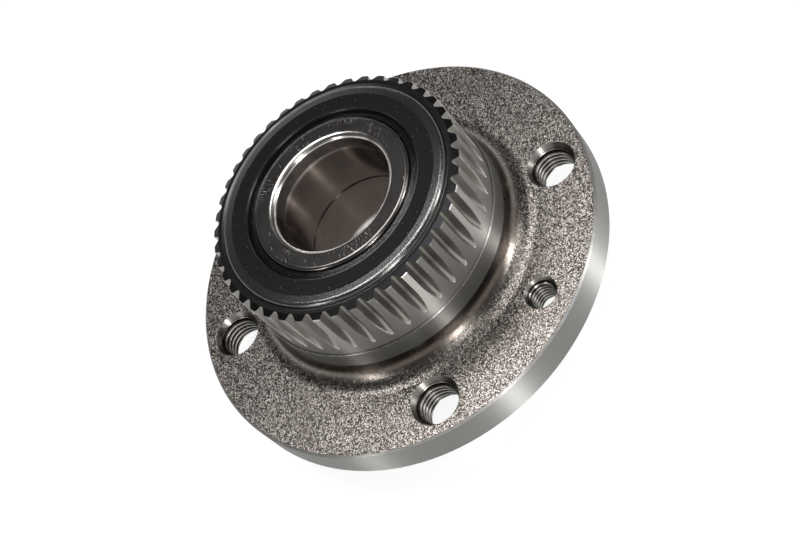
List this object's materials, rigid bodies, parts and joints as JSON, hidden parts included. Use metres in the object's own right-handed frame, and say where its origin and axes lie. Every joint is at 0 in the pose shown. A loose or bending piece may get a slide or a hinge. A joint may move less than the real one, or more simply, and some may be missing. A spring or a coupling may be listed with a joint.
{
  "type": "wheel hub bearing",
  "caption": "Flanged wheel hub with a sealed double-row ball bearing and speed sensor teeth cut into its barrel; the outer ring turns on a fixed stub axle.",
  "frame": {"origin": "on the axle line, in the plane of the flange's brake disc face", "axes": "+Z along the axle line, from the brake disc face towards the toothed barrel and the vehicle; +X through the centre of one wheel bolt hole"},
  "size_m": [0.12, 0.12, 0.0529],
  "materials": {
    "forged_steel": "shot-blasted forging, turned faces",
    "ring_steel": "ground and hardened",
    "ball_steel": "polished",
    "cage_plastic": "moulded",
    "seal_steel": "pressed sheet",
    "seal_rubber": "moulded, smooth"
  },
  "bodies": {
    "axle_side": {"inner_ring_inboard": "ring_steel", "inner_ring_outboard": "ring_steel"},
    "wheel_hub": {"hub": "forged_steel", "seal_case_inboard": "seal_steel", "seal_case_outboard": "seal_steel", "seal_rubber_inboard": "seal_rubber", "seal_rubber_outboard": "seal_rubber"},
    "inboard_row": {"cage_inboard": "cage_plastic", "ball_inboard_01": "ball_steel", "ball_inboard_02": "ball_steel", "ball_inboard_03": "ball_steel", "ball_inboard_04": "ball_steel", "ball_inboard_05": "ball_steel", "ball_inboard_06": "ball_steel", "ball_inboard_07": "ball_steel", "ball_inboard_08": "ball_steel", "ball_inboard_09": "ball_steel", "ball_inboard_10": "ball_steel", "ball_inboard_11": "ball_steel", "ball_inboard_12": "ball_steel", "ball_inboard_13": "ball_steel"},
    "outboard_row": {"cage_outboard": "cage_plastic", "ball_outboard_01": "ball_steel", "ball_outboard_02": "ball_steel", "ball_outboard_03": "ball_steel", "ball_outboard_04": "ball_steel", "ball_outboard_05": "ball_steel", "ball_outboard_06": "ball_steel", "ball_outboard_07": "ball_steel", "ball_outboard_08": "ball_steel", "ball_outboard_09": "ball_steel", "ball_outboard_10": "ball_steel", "ball_outboard_11": "ball_steel", "ball_outboard_12": "ball_steel", "ball_outboard_13": "ball_steel"}
  },
  "joints": [
    {"name": "hub_spin", "type": "hinge", "parent": "axle_side", "child": "wheel_hub", "pos_m": [0, 0, 0.0227], "axis": [0, 0, 1], "continuous": true},
    {"name": "inboard_row_spin", "type": "hinge", "parent": "axle_side", "child": "inboard_row", "pos_m": [0, 0, 0.0323], "axis": [0, 0, 1], "continuous": true},
    {"name": "outboard_row_spin", "type": "hinge", "parent": "axle_side", "child": "outboard_row", "pos_m": [0, 0, 0.0131], "axis": [0, 0, 1], "continuous": true}
  ],
  "couplings": [
    {"joint": "inboard_row_spin", "follows": "hub_spin", "ratio": 0.58537},
    {"joint": "outboard_row_spin", "follows": "hub_spin", "ratio": 0.58537}
  ]
}
